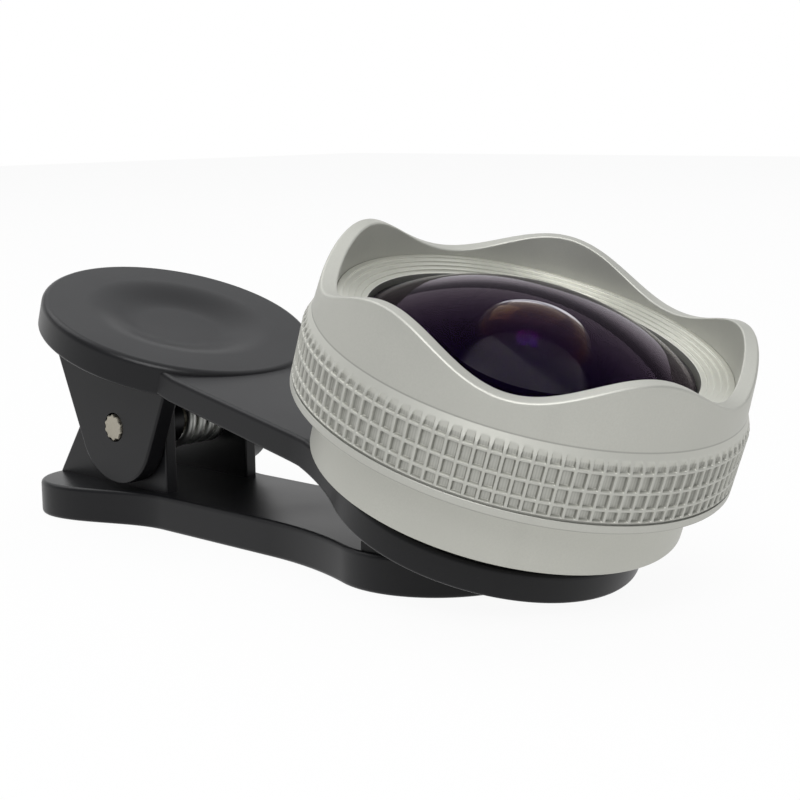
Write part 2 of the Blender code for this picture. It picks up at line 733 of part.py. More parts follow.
def knurl(mesh):
    """Rows of sunk pockets between ribs and bars; the top row runs out through the chamfer."""
    floor_r = LIP_R - KNURL_DEPTH
    inward = math.degrees(KNURL_SLOPE / LIP_R)
    runout = CHAMFER_Z + KNURL_DEPTH * CHAMFER_HEIGHT / CHAMFER_WIDTH
    count = KNURL_COUNT + KNURL_COUNT
    low = KNURL_Z
    previous = None
    bottom = None
    for row_height in KNURL_ROW_HEIGHTS:
        high = low + row_height
        lower = knurl_ring(mesh, LIP_R, low)
        upper = knurl_ring(mesh, LIP_R, high)
        floor_low = knurl_ring(mesh, floor_r, low + KNURL_SLOPE, inward)
        floor_high = knurl_ring(mesh, floor_r, high - KNURL_SLOPE, inward)
        if previous:
            band(mesh, previous, lower)
        bottom = bottom or lower
        for a in range(0, count, 2):
            b = a + 1
            c = (a + 2) % count
            mesh.faces.new((floor_low[a], floor_low[b], floor_high[b], floor_high[a]))
            mesh.faces.new((lower[a], lower[b], floor_low[b], floor_low[a]))
            mesh.faces.new((floor_high[a], floor_high[b], upper[b], upper[a]))
            mesh.faces.new((lower[a], floor_low[a], floor_high[a], upper[a]))
            mesh.faces.new((floor_low[b], lower[b], upper[b], floor_high[b]))
            mesh.faces.new((lower[b], lower[c], upper[c], upper[b]))
        previous = upper
        low = high + BAR_WIDTH
    lower = knurl_ring(mesh, LIP_R, CREST_Z)
    crest = knurl_ring(mesh, LIP_R, CHAMFER_Z)
    runs = knurl_ring(mesh, floor_r, runout)
    floor_low = knurl_ring(mesh, floor_r, CREST_Z + KNURL_SLOPE, inward)
    band(mesh, previous, lower)
    for a in range(0, count, 2):
        b = a + 1
        c = (a + 2) % count
        mesh.faces.new((floor_low[a], floor_low[b], runs[b], runs[a]))
        mesh.faces.new((lower[a], lower[b], floor_low[b], floor_low[a]))
        mesh.faces.new((lower[a], floor_low[a], runs[a], crest[a]))
        mesh.faces.new((floor_low[b], lower[b], crest[b], runs[b]))
        mesh.faces.new((lower[b], lower[c], crest[c], crest[b]))
        mesh.faces.new((crest[b], crest[c], runs[c], runs[b]))
    return bottom, runs


def make_front_barrel(surface, axis):
    """One turned piece: threaded sleeve, lip, knurled grip, chamfer and five-petal hood."""
    mesh = bmesh.new()
    recess = MACRO_R + GAP
    web_low = LEDGE_Z - WEB_THICK
    cell_bore = CELL_R + GAP
    flange_bore = FLANGE_R + GAP
    groove_low = GROOVE_Z - GROOVE_WIDTH / 2
    groove_high = GROOVE_Z + GROOVE_WIDTH / 2
    inside = [
        (HOOD_INNER_R, FLANGE_TOP),
        (flange_bore, FLANGE_TOP),
        (flange_bore, LEDGE_Z),
        (cell_bore, LEDGE_Z),
        (cell_bore, web_low),
        (SLEEVE_INNER_R, web_low),
        (SLEEVE_INNER_R, SLEEVE_Z),
        (SLEEVE_R, SLEEVE_Z),
        (SLEEVE_R, RECESS_Z),
        (recess, RECESS_Z),
        (recess, MACRO_HEIGHT),
        (LIP_R - LIP_EDGE, MACRO_HEIGHT),
        (LIP_R, MACRO_HEIGHT + LIP_EDGE),
        (LIP_R, groove_low),
        (LIP_R - GROOVE_DEPTH, GROOVE_Z),
        (LIP_R, groove_high),
    ]
    rings = [ring_of(mesh, radius, height, BARREL_SIDE_COUNT) for radius, height in inside]
    for before, after in zip(rings, rings[1:]):
        band(mesh, before, after)
    bottom, runs = knurl(mesh)
    band(mesh, rings[-1], turned(bottom))
    base = ring_of(mesh, HOOD_BASE_R, HOOD_BASE_Z, BARREL_SIDE_COUNT)
    band(mesh, turned(runs), base)
    low = RIM_Z - PETAL_HEIGHT - HOOD_LEAN
    waist = ring_of(mesh, hood_radius(low), low, BARREL_SIDE_COUNT)
    band(mesh, base, waist)
    outer = []
    inner = []
    for i in range(2 * BARREL_SIDE_COUNT):
        degrees = 180 * i / BARREL_SIDE_COUNT
        height = petal_height(degrees)
        outer.append(mesh.verts.new((*polar(hood_radius(height), degrees), height)))
        inner.append(mesh.verts.new((*polar(HOOD_INNER_R, degrees), height)))
    band(mesh, waist, outer)
    band(mesh, outer, inner)
    band(mesh, inner, rings[0])
    return piece("front_barrel", mesh, surface, axis)


def turned(ring):
    """The ring listed from its last corner, so that it lines up with a plain ring's first."""
    return ring[-1:] + ring[:-1]


def make_front_retainer(surface, axis):
    """The silver ring that holds the front lens, cut in steps down to the glass."""
    tread = RETAINER_WIDTH / RETAINER_STEP_COUNT
    riser = RETAINER_DROP / RETAINER_STEP_COUNT
    profile = [(RETAINER_R, RETAINER_Z)]
    for i in range(RETAINER_STEP_COUNT):
        height = RETAINER_Z + RETAINER_HEIGHT - riser * i
        profile.append((RETAINER_R - tread * i, height))
        profile.append((RETAINER_R - tread * (i + 1), height))
    profile.append((RETAINER_INNER_R, RETAINER_Z))
    lathe("front_retainer", profile, BARREL_SIDE_COUNT, surface, axis)


def make_front_optics(glass, rubber, axis):
    """The bulging front lens with its deep hollow back, and the seal on its flange."""
    edge_z = FLANGE_TOP + FRONT_GLASS_EDGE
    profile = [(BOWL_R, FLANGE_Z), (FLANGE_R, FLANGE_Z), (FLANGE_R, FLANGE_TOP)]
    profile += [(FRONT_GLASS_R, FLANGE_TOP), (FRONT_GLASS_R, edge_z)]
    profile += arc_profile(FRONT_GLASS_R, edge_z, FRONT_GLASS_RISE, 6)
    profile += arc_profile(BOWL_R, FLANGE_Z, BOWL_DEPTH, 6)[::-1]
    lathe("front_glass", profile, ROUND_SIDE_COUNT, glass, axis)
    profile = square_ring(FRONT_GLASS_R + GAP, FLANGE_R, SEAL_Z, SEAL_Z + SEAL_THICK)
    lathe("glass_seal", profile, ROUND_SIDE_COUNT, rubber, axis)


def make_inner_optics(black, glass, axis):
    """The black cell behind the front lens with its three lenses, spacer and rear ring."""
    lower_bore = CROWN_R + GAP
    web_top = CELL_WEB_Z + CELL_WEB_THICK
    profile = [
        (lower_bore, SLEEVE_Z),
        (CELL_R, SLEEVE_Z),
        (CELL_R, LEDGE_Z),
        (CELL_BORE_R, LEDGE_Z),
        (CELL_BORE_R, web_top),
        (CELL_WEB_R, web_top),
        (CELL_WEB_R, CELL_WEB_Z),
        (lower_bore, CELL_WEB_Z),
    ]
    lathe("lens_cell", profile, INNER_SIDE_COUNT, black, axis)
    second_r = CELL_BORE_R - GAP
    second_top = SECOND_Z + SECOND_EDGE
    profile = [(0, SECOND_Z + SECOND_DISH)]
    profile += arc_profile(CELL_WEB_R, SECOND_Z, SECOND_DISH, 3)[-2::-1]
    profile += [(CELL_WEB_R, SECOND_Z), (second_r, SECOND_Z), (second_r, second_top)]
    profile += [(CELL_WEB_R, second_top)]
    profile += arc_profile(CELL_WEB_R, second_top, -SECOND_DISH / 2, 3)
    lathe("second_lens", profile, INNER_SIDE_COUNT, glass, axis)
    profile = square_ring(second_r - REAR_RETAINER_WALL, second_r, SPACER_Z, LEDGE_Z)
    lathe("spacer_ring", profile, INNER_SIDE_COUNT, black, axis)
    crown_top = CROWN_Z + CROWN_EDGE
    flat = CELL_WEB_R - GAP
    profile = [(0, CROWN_Z), (CROWN_R, CROWN_Z), (CROWN_R, crown_top), (flat, crown_top)]
    profile += arc_profile(flat, crown_top, CROWN_BULGE, 3)
    lathe("crown_lens", profile, INNER_SIDE_COUNT, glass, axis)
    flint_top = FLINT_Z + FLINT_EDGE
    open_r = CROWN_R - REAR_RETAINER_WALL
    profile = [(0, FLINT_Z + SECOND_DISH)]
    profile += arc_profile(open_r, FLINT_Z, SECOND_DISH, 3)[-2::-1]
    profile += [(open_r, FLINT_Z), (CROWN_R, FLINT_Z), (CROWN_R, flint_top), (0, flint_top)]
    lathe("flint_lens", profile, INNER_SIDE_COUNT, glass, axis)
    profile = square_ring(open_r, CROWN_R, SLEEVE_Z, SLEEVE_Z + REAR_RETAINER_HEIGHT)
    lathe("rear_retainer", profile, INNER_SIDE_COUNT, black, axis)


def main():
    for leftover in list(bpy.data.objects):
        bpy.data.objects.remove(leftover)
    black_plastic = material("black_plastic", (0.012, 0.012, 0.014), 0.45)
    rubber = material("rubber", (0.02, 0.02, 0.02), 0.8)
    steel = material("steel", (0.62, 0.62, 0.58), 0.35, 1.0)
    silver = material("satin_silver", (0.62, 0.63, 0.58), 0.4, 0.8)
    black_metal = material("black_metal", (0.015, 0.015, 0.016), 0.4, 0.3)
    glass = material("glass", (0.10, 0.08, 0.10), 0.03)
    pivot = empty("clip_pivot", (0.0, 0.0, PIVOT_HEIGHT), JAW_TILT)
    axis = empty("lens_axis", (RING_X, 0.0, RING_TOP + SHOULDER_HEIGHT), parent=pivot)
    make_lower_arm(black_plastic)
    make_upper_arm(black_plastic, pivot)
    make_pin(steel, pivot)
    make_spring(steel)
    make_pads(rubber, pivot)
    make_macro_unit(silver, black_metal, glass, axis)
    make_front_barrel(silver, axis)
    make_front_retainer(silver, axis)
    make_front_optics(glass, rubber, axis)
    make_inner_optics(black_metal, glass, axis)


main()
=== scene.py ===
"""The look of a clip-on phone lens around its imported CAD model: finer meshes, materials, light and camera."""

import math

import bmesh
import bpy
import numpy as np
from mathutils import Matrix


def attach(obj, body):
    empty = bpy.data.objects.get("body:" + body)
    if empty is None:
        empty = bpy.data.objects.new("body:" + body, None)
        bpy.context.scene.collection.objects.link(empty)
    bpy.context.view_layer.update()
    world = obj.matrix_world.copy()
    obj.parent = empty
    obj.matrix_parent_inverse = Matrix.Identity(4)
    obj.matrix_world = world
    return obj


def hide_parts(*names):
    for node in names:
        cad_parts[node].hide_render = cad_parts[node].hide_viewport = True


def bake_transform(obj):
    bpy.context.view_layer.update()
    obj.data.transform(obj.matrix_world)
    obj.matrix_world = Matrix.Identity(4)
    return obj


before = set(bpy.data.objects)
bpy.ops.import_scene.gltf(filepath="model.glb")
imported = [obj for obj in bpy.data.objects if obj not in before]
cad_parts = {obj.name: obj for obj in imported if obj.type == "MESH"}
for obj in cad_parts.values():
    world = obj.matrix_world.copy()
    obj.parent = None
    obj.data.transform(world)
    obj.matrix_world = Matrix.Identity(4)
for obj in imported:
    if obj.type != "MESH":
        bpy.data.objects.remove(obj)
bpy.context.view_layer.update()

MM = 0.001
PIVOT_HEIGHT = 12.88
JAW_TILT = math.radians(18.9)
PIVOT = Matrix.Translation((0, 0, PIVOT_HEIGHT * MM)) @ Matrix.Rotation(JAW_TILT, 4, "Y")
LENS = PIVOT @ Matrix.Translation((53.94 * MM, 0, 17.69 * MM))
WORLD = Matrix.Identity(4)
SMOOTH = math.radians(32)
KNURL_COUNT = 108
KNURL_LINES = 5
BARS = (9.59, 11.47, 13.55)


# Mesh helpers


class Net:
    """Points in millimetres and faces of one piece."""

    def __init__(self):
        self.points = []
        self.faces = []

    def ring(self, points):
        first = len(self.points)
        self.points.extend(tuple(float(v) for v in p) for p in points)
        return list(range(first, len(self.points)))

    def band(self, a, b):
        """Faces between two closed rings whose counts are equal or a multiple."""
        if len(a) > len(b):
            a, b, flip = b, a, True
        else:
            flip = False
        if len(a) == 1:
            self.fan(b, a)
            return
        share = len(b) // len(a)
        for i in range(len(a)):
            j = (i + 1) % len(a)
            arc = [b[(i * share + k) % len(b)] for k in range(share + 1)]
            face = [a[i], a[j]] + arc[::-1]
            self.faces.append(face[::-1] if flip else face)

    def fan(self, ring, centre):
        for i in range(len(ring)):
            self.faces.append((ring[i - 1], ring[i], centre[0]))

    def cap(self, ring):
        self.faces.append(list(ring))

    def make(self, name, place=WORLD):
        mesh = bpy.data.meshes.new(name)
        mesh.from_pydata([tuple(v * MM for v in p) for p in self.points], [], self.faces)
        mesh.validate()
        made = bpy.data.objects.new(name, mesh)
        bpy.context.scene.collection.objects.link(made)
        made.matrix_world = place
        face_out(mesh)
        smooth(mesh)
        return made


def face_out(mesh):
    """Turn every face of the mesh outwards."""
    work = bmesh.new()
    work.from_mesh(mesh)
    bmesh.ops.recalc_face_normals(work, faces=work.faces)
    work.to_mesh(mesh)
    work.free()


def smooth(mesh, angle=SMOOTH):
    mesh.shade_smooth()
    mesh.set_sharp_from_angle(angle=angle)


def circle(radius, height, count, start=0.0):
    turns = np.radians(start) + np.arange(count) * 2 * np.pi / count
    z = np.full(count, height) if np.isscalar(height) else height
    return np.stack([radius * np.cos(turns), radius * np.sin(turns), z], axis=1)


def soften(outline, radius, steps=4, closed=True):
    """Round the corners of an outline; each corner may give its own radius as a third number."""
    count = len(outline)
    made = []
    for i, corner in enumerate(outline):
        here = np.array(corner[:2], float)
        wanted = corner[2] if len(corner) > 2 else radius
        if not closed and i in (0, count - 1) or wanted <= 0:
            made.append(tuple(here))
            continue
        before = np.array(outline[i - 1][:2], float)
        after = np.array(outline[(i + 1) % count][:2], float)
        a, b = before - here, after - here
        la, lb = np.linalg.norm(a), np.linalg.norm(b)
        if la < 1e-9 or lb < 1e-9:
            continue
        a, b = a / la, b / lb
        half = math.acos(max(-1.0, min(1.0, float(a @ b)))) / 2
        if half > math.radians(86):
            made.append(tuple(here))
            continue
        reach = min(wanted / math.tan(half), 0.45 * la, 0.45 * lb)
        centre = here + (a + b) / np.linalg.norm(a + b) * reach / math.cos(half)
        bend = reach * math.tan(half)
        first = here + a * reach
        last = here + b * reach
        guard = min(0.06, 0.04 * la, 0.04 * lb)
        made.append(tuple(first + a * guard))
        for k in range(steps + 1):
            point = first + (last - first) * k / steps - centre
            made.append(tuple(centre + point / np.linalg.norm(point) * bend))
        made.append(tuple(last + b * guard))
    return made


def lathe(name, outline, sides, place, radius=0.0, steps=4):
    """Turn a closed outline of (radius, height) about Z; its corners are rounded by the given radius."""
    profile = soften(outline, radius, steps) if radius else [p[:2] for p in outline]
    net = Net()
    rings = []
    for r, z in profile:
        rings.append(net.ring([(0, 0, z)]) if r < 1e-6 else net.ring(circle(r, z, sides)))
    for i in range(len(rings)):
        if len(rings[i - 1]) > 1 or len(rings[i]) > 1:
            net.band(rings[i - 1], rings[i])
    return net.make(name, place)


def inset(loop, distance):
    """A closed outline moved inwards by one distance."""
    points = np.array(loop, float)
    ahead = np.roll(points, -1, 0) - points
    ahead /= np.linalg.norm(ahead, axis=1)[:, None]
    normal = np.stack([-ahead[:, 1], ahead[:, 0]], 1)
    both = normal + np.roll(normal, 1, 0)
    return points + both * (2 * distance / (both**2).sum(1))[:, None]


def edge_steps(radius, steps=4, guard=0.05):
    """(inset, drop) pairs round an edge, from the wall to the flat."""
    pairs = [(0.0, radius + guard)]
    for k in range(steps + 1):
        turn = math.pi / 2 * k / steps
        pairs.append((radius * (1 - math.cos(turn)), radius * (1 - math.sin(turn))))
    pairs.append((radius + guard, 0.0))
    return pairs


def slab(name, half, low, high, top_r, low_r, place):
    """A flat moulding, alike on both sides of the XZ plane, between two heights that follow x."""
    count = len(half)
    loop = list(half) + [(x, -y) for x, y in reversed(half) if y > 0]
    mirrored = {}
    following = count
    for i in reversed(range(count)):
        mirrored[i] = following if half[i][1] > 0 else i
        following += 1 if half[i][1] > 0 else 0
    net = Net()
    layers = []
    for side, radius in ((low, low_r), (high, top_r)):
        sign = 1 if side is low else -1
        pairs = edge_steps(radius) if radius else [(0.0, 0.0)]
        if side is low:
            pairs = pairs[::-1]
        for distance, drop in pairs:
            moved = inset(loop, distance) if distance else np.array(loop, float)
            layers.append(net.ring([(x, y, side(x) + sign * drop) for x, y in moved]))
    for a, b in zip(layers, layers[1:]):
        net.band(a, b)
    for cap in (layers[0], layers[-1]):
        for i in range(count - 1):
            corners = (cap[i], cap[i + 1], cap[mirrored[i + 1]], cap[mirrored[i]])
            net.faces.append(tuple(dict.fromkeys(corners)))
    return net.make(name, place)


def plate(name, outline, near, far, radius, place):
    """An upright plate of (x, z) points between two widths, with rounded rims."""
    net = Net()
    layers = []
    for y, sign in ((near, 1), (far, -1)):
        pairs = edge_steps(radius)
        if sign > 0:
            pairs = pairs[::-1]
        for distance, drop in pairs:
            moved = inset(outline, distance) if distance else outline
            layers.append(net.ring([(x, y + sign * drop, z) for x, z in moved]))
    for a, b in zip(layers, layers[1:]):
        net.band(a, b)
    net.cap(layers[0])
    net.cap(layers[-1])
    return net.make(name, place)


def cut(target, tool, operation="DIFFERENCE"):
    """Apply an exact boolean and drop the tool."""
    modifier = target.modifiers.new("cut", "BOOLEAN")
    modifier.operation = operation
    modifier.solver = "EXACT"
    modifier.object = tool
    bpy.context.view_layer.update()
    got = bpy.data.meshes.new_from_object(target.evaluated_get(bpy.context.evaluated_depsgraph_get()))
    target.modifiers.clear()
    old = target.data
    target.data = got
    bpy.data.meshes.remove(old)
    smooth(got)
    bpy.data.objects.remove(tool)


def cylinder(radius, low, high, sides, place, across=False):
    """A plain cutter, upright or along Y."""
    turn = Matrix.Rotation(math.radians(90), 4, "X") if across else WORLD
    outline = [(0, low), (radius, low), (radius, high), (0, high)]
    return lathe("cutter", outline, sides, place @ turn)


def join(name, pieces):
    """Several meshes that lie in one frame as one object."""
    bpy.ops.object.select_all(action="DESELECT")
    for made in pieces:
        made.select_set(True)
    bpy.context.view_layer.objects.active = pieces[0]
    bpy.ops.object.join()
    pieces[0].name = name
    return pieces[0]


def dress(piece, surface, body, slot, *nodes):
    """Give a piece its material and body, and hide the CAD nodes that it stands for; the slot argument is not
    used.
    """
    piece.data.materials.clear()
    piece.data.materials.append(surface)
    if body:
        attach(piece, body)
    if nodes:
        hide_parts(*nodes)
    return piece


# Materials


class Shade:
    """A small builder of node materials."""

    def __init__(self, name, **values):
        self.material = bpy.data.materials.new(name)
        self.material.use_nodes = True
        self.tree = self.material.node_tree
        self.shader = self.tree.nodes["Principled BSDF"]
        for key, value in values.items():
            label = key.replace("_", " ").title().replace("Ior", "IOR")
            self.shader.inputs[label].default_value = value
        self.coordinates = self.node("ShaderNodeTexCoord").outputs["Object"]

    def node(self, kind, **settings):
        made = self.tree.nodes.new(kind)
        for key, value in settings.items():
            setattr(made, key, value)
        return made

    def link(self, source, target):
        self.tree.links.new(source, target)

    def noise(self, scale, detail=3.0, rough=0.5, stretch=None):
        made = self.node("ShaderNodeTexNoise")
        made.inputs["Scale"].default_value = scale
        made.inputs["Detail"].default_value = detail
        made.inputs["Roughness"].default_value = rough
        source = self.coordinates
        if stretch:
            mapping = self.node("ShaderNodeMapping")
            mapping.inputs["Scale"].default_value = stretch
            self.link(source, mapping.inputs["Vector"])
            source = mapping.outputs["Vector"]
        self.link(source, made.inputs["Vector"])
        return made.outputs["Fac"]

    def ramp(self, source, low, high, a, b):
        """Map a value to a new range, held at both ends."""
        made = self.node("ShaderNodeMapRange")
        made.inputs["From Min"].default_value = low
        made.inputs["From Max"].default_value = high
        made.inputs["To Min"].default_value = a
        made.inputs["To Max"].default_value = b
        self.link(source, made.inputs["Value"])
        return made.outputs["Result"]

    def mix(self, factor, a, b):
        """Blend two colours by a value."""
        made = self.node("ShaderNodeMix", data_type="RGBA")
        self.link(factor, made.inputs["Factor"])
        for socket, colour in zip(("A", "B"), (a, b)):
            target = [i for i in made.inputs if i.name == socket and i.type == "RGBA"][0]
            if isinstance(colour, tuple):
                target.default_value = (*colour, 1.0)
            else:
                self.link(colour, target)
        return [o for o in made.outputs if o.type == "RGBA"][0]

    def math(self, operation, a, b=None):
        made = self.node("ShaderNodeMath", operation=operation)
        for socket, value in zip(made.inputs, (a, b)):
            if value is None:
                continue
            if isinstance(value, (int, float)):
                socket.default_value = value
            else:
                self.link(value, socket)
        return made.outputs["Value"]

    def bump(self, height, distance, strength=1.0):
        """Add a bump on top of those before it; the distance is in metres."""
        made = self.node("ShaderNodeBump")
        made.inputs["Distance"].default_value = distance
        made.inputs["Strength"].default_value = strength
        self.link(height, made.inputs["Height"])
        if self.shader.inputs["Normal"].is_linked:
            self.link(self.shader.inputs["Normal"].links[0].from_socket, made.inputs["Normal"])
        self.link(made.outputs["Normal"], self.shader.inputs["Normal"])

    def window(self, source, low, high, fade):
        """1 between two values, fading to 0 outside them."""
        rising = self.ramp(source, low - fade, low, 0, 1)
        return self.math("MULTIPLY", rising, self.ramp(source, high, high + fade, 1, 0))

    def to(self, socket, source):
        self.link(source, self.shader.inputs[socket])

    def turned(self):
        """Angle about the object's Z axis, height and radius, as sockets."""
        split = self.node("ShaderNodeSeparateXYZ")
        self.link(self.coordinates, split.inputs["Vector"])
        x, y, height = (split.outputs[axis] for axis in "XYZ")
        radius = self.math("SQRT", self.math("ADD", self.math("MULTIPLY", x, x), self.math("MULTIPLY", y, y)))
        return self.math("ARCTAN2", y, x), height, radius


def knurl_masks(shade):
    """1 on the fine lines of the pocket floors, and 1 in the corners and grooves, where shade is painted
    darker: the pocket walls, the groove below the knurl, the lip's lower edge and the pocket floor under each
    bar.
    """
    angle, height, radius = shade.turned()
    knurled = shade.window(height, 8.35 * MM, 14.3 * MM, 0.1 * MM)
    wave = shade.math("SINE", shade.math("MULTIPLY", angle, KNURL_COUNT * KNURL_LINES))
    floor = shade.math("MULTIPLY", shade.window(radius, 24.3 * MM, 24.62 * MM, 0.04 * MM), knurled)
    lines = shade.math("MULTIPLY", shade.ramp(wave, 0.1, 0.8, 0, 1), floor)
    # Painted shade on the pocket walls.
    wall_shade = shade.math("MULTIPLY", shade.window(radius, 24.66 * MM, 24.78 * MM, 0.08 * MM), knurled)
    # Painted shade in the groove between the lip and the knurl.
    groove = shade.window(height, 7.93 * MM, 8.2 * MM, 0.03 * MM)
    groove = shade.math("MULTIPLY", groove, shade.window(radius, 24.7 * MM, 24.96 * MM, 0.03 * MM))
    # Painted shadow along the lip's lower edge.
    under = shade.ramp(height, 7.0 * MM, 7.16 * MM, 1, 0)
    edge = shade.math("MULTIPLY", under, shade.ramp(radius, 24.5 * MM, 24.7 * MM, 0, 1))
    corners = shade.math("MAXIMUM", shade.math("MAXIMUM", wall_shade, groove), edge)
    # Painted shadow on each pocket floor just below every bar.
    for bar in BARS:
        bar_shadow = shade.window(height, (bar - 0.3) * MM, (bar - 0.13) * MM, 0.22 * MM)
        bar_shadow = shade.math("MULTIPLY", bar_shadow, shade.math("MULTIPLY", floor, 0.8))
        corners = shade.math("MAXIMUM", corners, bar_shadow)
    return lines, corners


def silver(name, tint, rough, knurled=False):
    """Fine blasted, silver anodised aluminium; the knurled version also carries a painted highlight and painted
    shade.
    """
    shade = Shade(name, metallic=0.85, roughness=rough)
    cloud = shade.noise(90, 3)
    grain = shade.noise(5200, 2, 0.6)
    light = tuple(min(1.0, v * 1.03) for v in tint)
    dark = tuple(v * 0.95 for v in tint)
    colour = shade.mix(shade.ramp(cloud, 0.3, 0.7, 0.0, 1.0), dark, light)
    colour = shade.mix(shade.ramp(grain, 0.35, 0.65, 0.0, 0.5), colour, tuple(v * 0.93 for v in tint))
    if knurled:
        cells = shade.node("ShaderNodeTexVoronoi")
        cells.inputs["Scale"].default_value = 210
        shade.link(shade.coordinates, cells.inputs["Vector"])
        near = shade.ramp(cells.outputs["Distance"], 0.03, 0.05, 1.0, 0.0)
        tone = shade.node("ShaderNodeSeparateColor")
        shade.link(cells.outputs["Color"], tone.inputs["Color"])
        rare = shade.ramp(tone.outputs["Red"], 0.955, 0.96, 0.0, 1.0)
        colour = shade.mix(shade.math("MULTIPLY", near, rare), colour, (0.10, 0.09, 0.08))
        lines, corners = knurl_masks(shade)
        height = shade.turned()[1]
        # Painted highlight: the chamfer band above the knurl is lightened.
        chamfer = shade.window(height, 14.3 * MM, 15.6 * MM, 0.12 * MM)
        colour = shade.mix(shade.math("MULTIPLY", chamfer, 0.5), colour, tuple(v * 1.16 for v in tint))
        # Painted shade: a dark line in the crease at the hood's foot.
        foot = shade.window(height, 15.66 * MM, 15.78 * MM, 0.05 * MM)
        colour = shade.mix(foot, colour, tuple(v * 0.75 for v in tint))
        colour = shade.mix(shade.math("MULTIPLY", lines, 0.35), colour, tuple(v * 0.6 for v in tint))
        # Painted shade: the pocket walls, the groove, the lip edge and the floor under each bar are darkened.
        colour = shade.mix(shade.math("MULTIPLY", corners, 0.6), colour, tuple(v * 0.45 for v in tint))
    shade.to("Base Color", colour)
    shade.to("Roughness", shade.ramp(cloud, 0.2, 0.8, rough - 0.03, rough + 0.04))
    shade.bump(grain, 0.000012, 0.5)
    return shade.material


def plastic(name, tint, rough, grain_depth):
    """Black moulded plastic with a fine satin skin."""
    shade = Shade(name, roughness=rough, specular_ior_level=0.24)
    cloud = shade.noise(60, 3)
    grain = shade.noise(3800, 2, 0.55)
    colour = shade.mix(shade.ramp(cloud, 0.3, 0.7, 0.0, 1.0), tint, tuple(v * 1.25 for v in tint))
    dust = shade.noise(900, 4, 0.7)
    colour = shade.mix(shade.ramp(dust, 0.70, 0.80, 0.0, 0.12), colour, (0.09, 0.09, 0.09))
    shade.to("Base Color", colour)
    shade.to("Roughness", shade.ramp(cloud, 0.2, 0.8, rough - 0.03, rough + 0.05))
    shade.bump(grain, grain_depth, 0.6)
    return shade.material


def paint_black(name, tint, rough, shine=0.06):
    """Light-trap paint, with a faint mottle."""
    shade = Shade(name, roughness=rough, specular_ior_level=shine)
    cloud = shade.noise(90, 1)
    shade.to("Base Color", shade.mix(cloud, tuple(v * 0.85 for v in tint), tuple(v * 1.15 for v in tint)))
    shade.to("Roughness", shade.ramp(cloud, 0.2, 0.8, rough - 0.02, rough + 0.02))
    return shade.material


def steel(name, tint, rough):
    shade = Shade(name, metallic=1.0, roughness=rough)
    grain = shade.noise(2500, 3, 0.6)
    shade.to("Base Color", shade.mix(grain, tuple(v * 0.85 for v in tint), tint))
    shade.bump(grain, 0.00003, 0.5)
    return shade.material


FILM_IOR = 1.23
DOME_FILM = (112, 193)
BOWL_FILM = (169, 198)


def lens_glass(name, tint, film, ior):
    """Clear glass. The coating's thickness, in nanometres seen straight on and edge on, was chosen."""
    shade = Shade(name, roughness=0.0, transmission_weight=1.0, ior=ior)
    shade.shader.inputs["Base Color"].default_value = (*tint, 1.0)
    if film:
        shade.shader.inputs["Thin Film IOR"].default_value = FILM_IOR
        facing = shade.node("ShaderNodeLayerWeight")
        facing.inputs["Blend"].default_value = 0.5
        shade.to("Thin Film Thickness", shade.ramp(facing.outputs["Facing"], 0.0, 1.0, film[0], film[1]))
    return shade.material


hood_silver = silver("hood_silver", (0.50, 0.50, 0.46), 0.55, knurled=True)
plain_silver = silver("plain_silver", (0.51, 0.51, 0.465), 0.5)
step_silver = silver("step_silver", (0.64, 0.64, 0.58), 0.42)
arm_black = plastic("arm_black", (0.0056, 0.0056, 0.0064), 0.33, 0.000010)
pad_black = plastic("pad_black", (0.016, 0.016, 0.016), 0.7, 0.00004)
pin_steel = steel("pin_steel", (0.45, 0.42, 0.35), 0.5)
wire_steel = steel("wire_steel", (0.80, 0.81, 0.77), 0.5)
cell_black = paint_black("cell_black", (0.003, 0.003, 0.003), 0.5)
inside_black = paint_black("inside_black", (0.006, 0.005, 0.005), 0.6)
edge_paint = paint_black("edge_paint", (0.0012, 0.001, 0.001), 0.9, 0.0)
front_coat = lens_glass("front_coat", (0.74, 0.71, 0.74), DOME_FILM, 1.5)
bowl_coat = lens_glass("bowl_coat", (0.70, 0.69, 0.71), BOWL_FILM, 1.5)
inner_coat = lens_glass("inner_coat", (0.24, 0.24, 0.25), None, 1.32)


# Lens barrels

LIP_R = 25.0
KNURL_DEPTH = 0.40
KNURL_LOW = 8.27
CHAMFER_Z = 13.94
HOOD_Z = 15.67
HOOD_R = 24.3
RIM_Z = 20.8
PETAL = 1.95
PETAL_TURN = -20.25
HOOD_TOP_R = 23.75
HOOD_INNER = 22.14
MACRO_R = 21.37


def petal_height(turn):
    return RIM_Z + PETAL * np.cos(5 * (turn - math.radians(PETAL_TURN)))


def hood_radius(height):
    share = (height - HOOD_Z) / (RIM_Z + PETAL - HOOD_Z)
    return HOOD_R + (HOOD_TOP_R - HOOD_R) * share


def step_up(value, low, high):
    t = np.clip((value - low) / (high - low), 0, 1)
    return t * t * (3 - 2 * t)


def knurl_rows():
    """Heights that follow every bar's flanks, and the share of the pocket depth at each."""
    flank = (0.11, 0.15, 0.19, 0.24, 0.29)
    rows = [KNURL_LOW - 0.02]
    rows += [KNURL_LOW + v - 0.11 for v in flank]
    for bar in BARS:
        rows += [bar - v for v in reversed(flank)] + [bar + v for v in flank]
    middles = [(8.5 + BARS[0]) / 2, (BARS[0] + BARS[1]) / 2, (BARS[1] + BARS[2]) / 2]
    rows += middles
    rows += list(np.linspace(13.88, 15.05, 9))
    return sorted(set(round(v, 4) for v in rows))


def pocket_share(height):
    """0 on a bar, 1 on a pocket's floor."""
    share = step_up(height, KNURL_LOW, KNURL_LOW + 0.18)
    for bar in BARS:
        share = np.minimum(share, step_up(abs(height - bar), 0.11, 0.29))
    return float(share)


